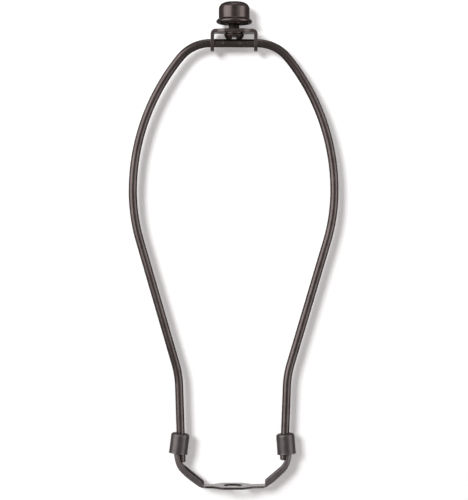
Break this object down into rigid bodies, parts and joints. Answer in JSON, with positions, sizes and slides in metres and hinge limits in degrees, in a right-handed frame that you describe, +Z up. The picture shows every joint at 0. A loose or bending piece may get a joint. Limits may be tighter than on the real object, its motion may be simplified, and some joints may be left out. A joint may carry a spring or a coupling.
{
  "type": "lamp harp",
  "caption": "Bent wire lamp harp in a stamped saddle with sliding ferrules, a swivelling shade bracket and a screwed finial.",
  "frame": {"origin": "centre of the saddle's pipe hole, on the saddle's underside", "axes": "+Z up along the pipe hole towards the finial, X across the bow, Y through the plane of the bow"},
  "size_m": [0.1166, 0.0198, 0.2694],
  "materials": {
    "stamped_steel": "semi-gloss dark bronze",
    "bow_wire": "semi-gloss dark bronze",
    "turned_steel": "semi-gloss dark bronze",
    "drawn_shell": "semi-gloss dark bronze"
  },
  "bodies": {
    "harp": {"saddle": "stamped_steel", "harp_bow": "bow_wire"},
    "left_ferrule": {"left_ferrule": "drawn_shell"},
    "right_ferrule": {"right_ferrule": "drawn_shell"},
    "swivel": {"swivel_bracket": "stamped_steel", "shade_stud": "turned_steel"},
    "finial_hub": {"finial_hub": "turned_steel"},
    "finial_shell": {"finial_shell": "drawn_shell"}
  },
  "joints": [
    {"name": "left_ferrule_slide", "type": "slide", "parent": "harp", "child": "left_ferrule", "axis": [-0.0349, 0, 0.9994], "range_m": [0, 0.022]},
    {"name": "right_ferrule_slide", "type": "slide", "parent": "harp", "child": "right_ferrule", "axis": [0.0349, 0, 0.9994], "range_m": [0, 0.022]},
    {"name": "bracket_swivel", "type": "hinge", "parent": "harp", "child": "swivel", "pos_m": [0, 0, 0.24645], "axis": [1, 0, 0], "continuous": true},
    {"name": "finial_rise", "type": "slide", "parent": "swivel", "child": "finial_hub", "axis": [0, 0, 1], "range_m": [-0.00253, 0.00847]},
    {"name": "finial_turn", "type": "hinge", "parent": "finial_hub", "child": "finial_shell", "pos_m": [0, 0, 0.258], "axis": [0, 0, 1], "range_deg": [-968, 3239]}
  ],
  "couplings": [
    {"joint": "finial_rise", "follows": "finial_turn", "m_per_rad": 0.00014972}
  ]
}
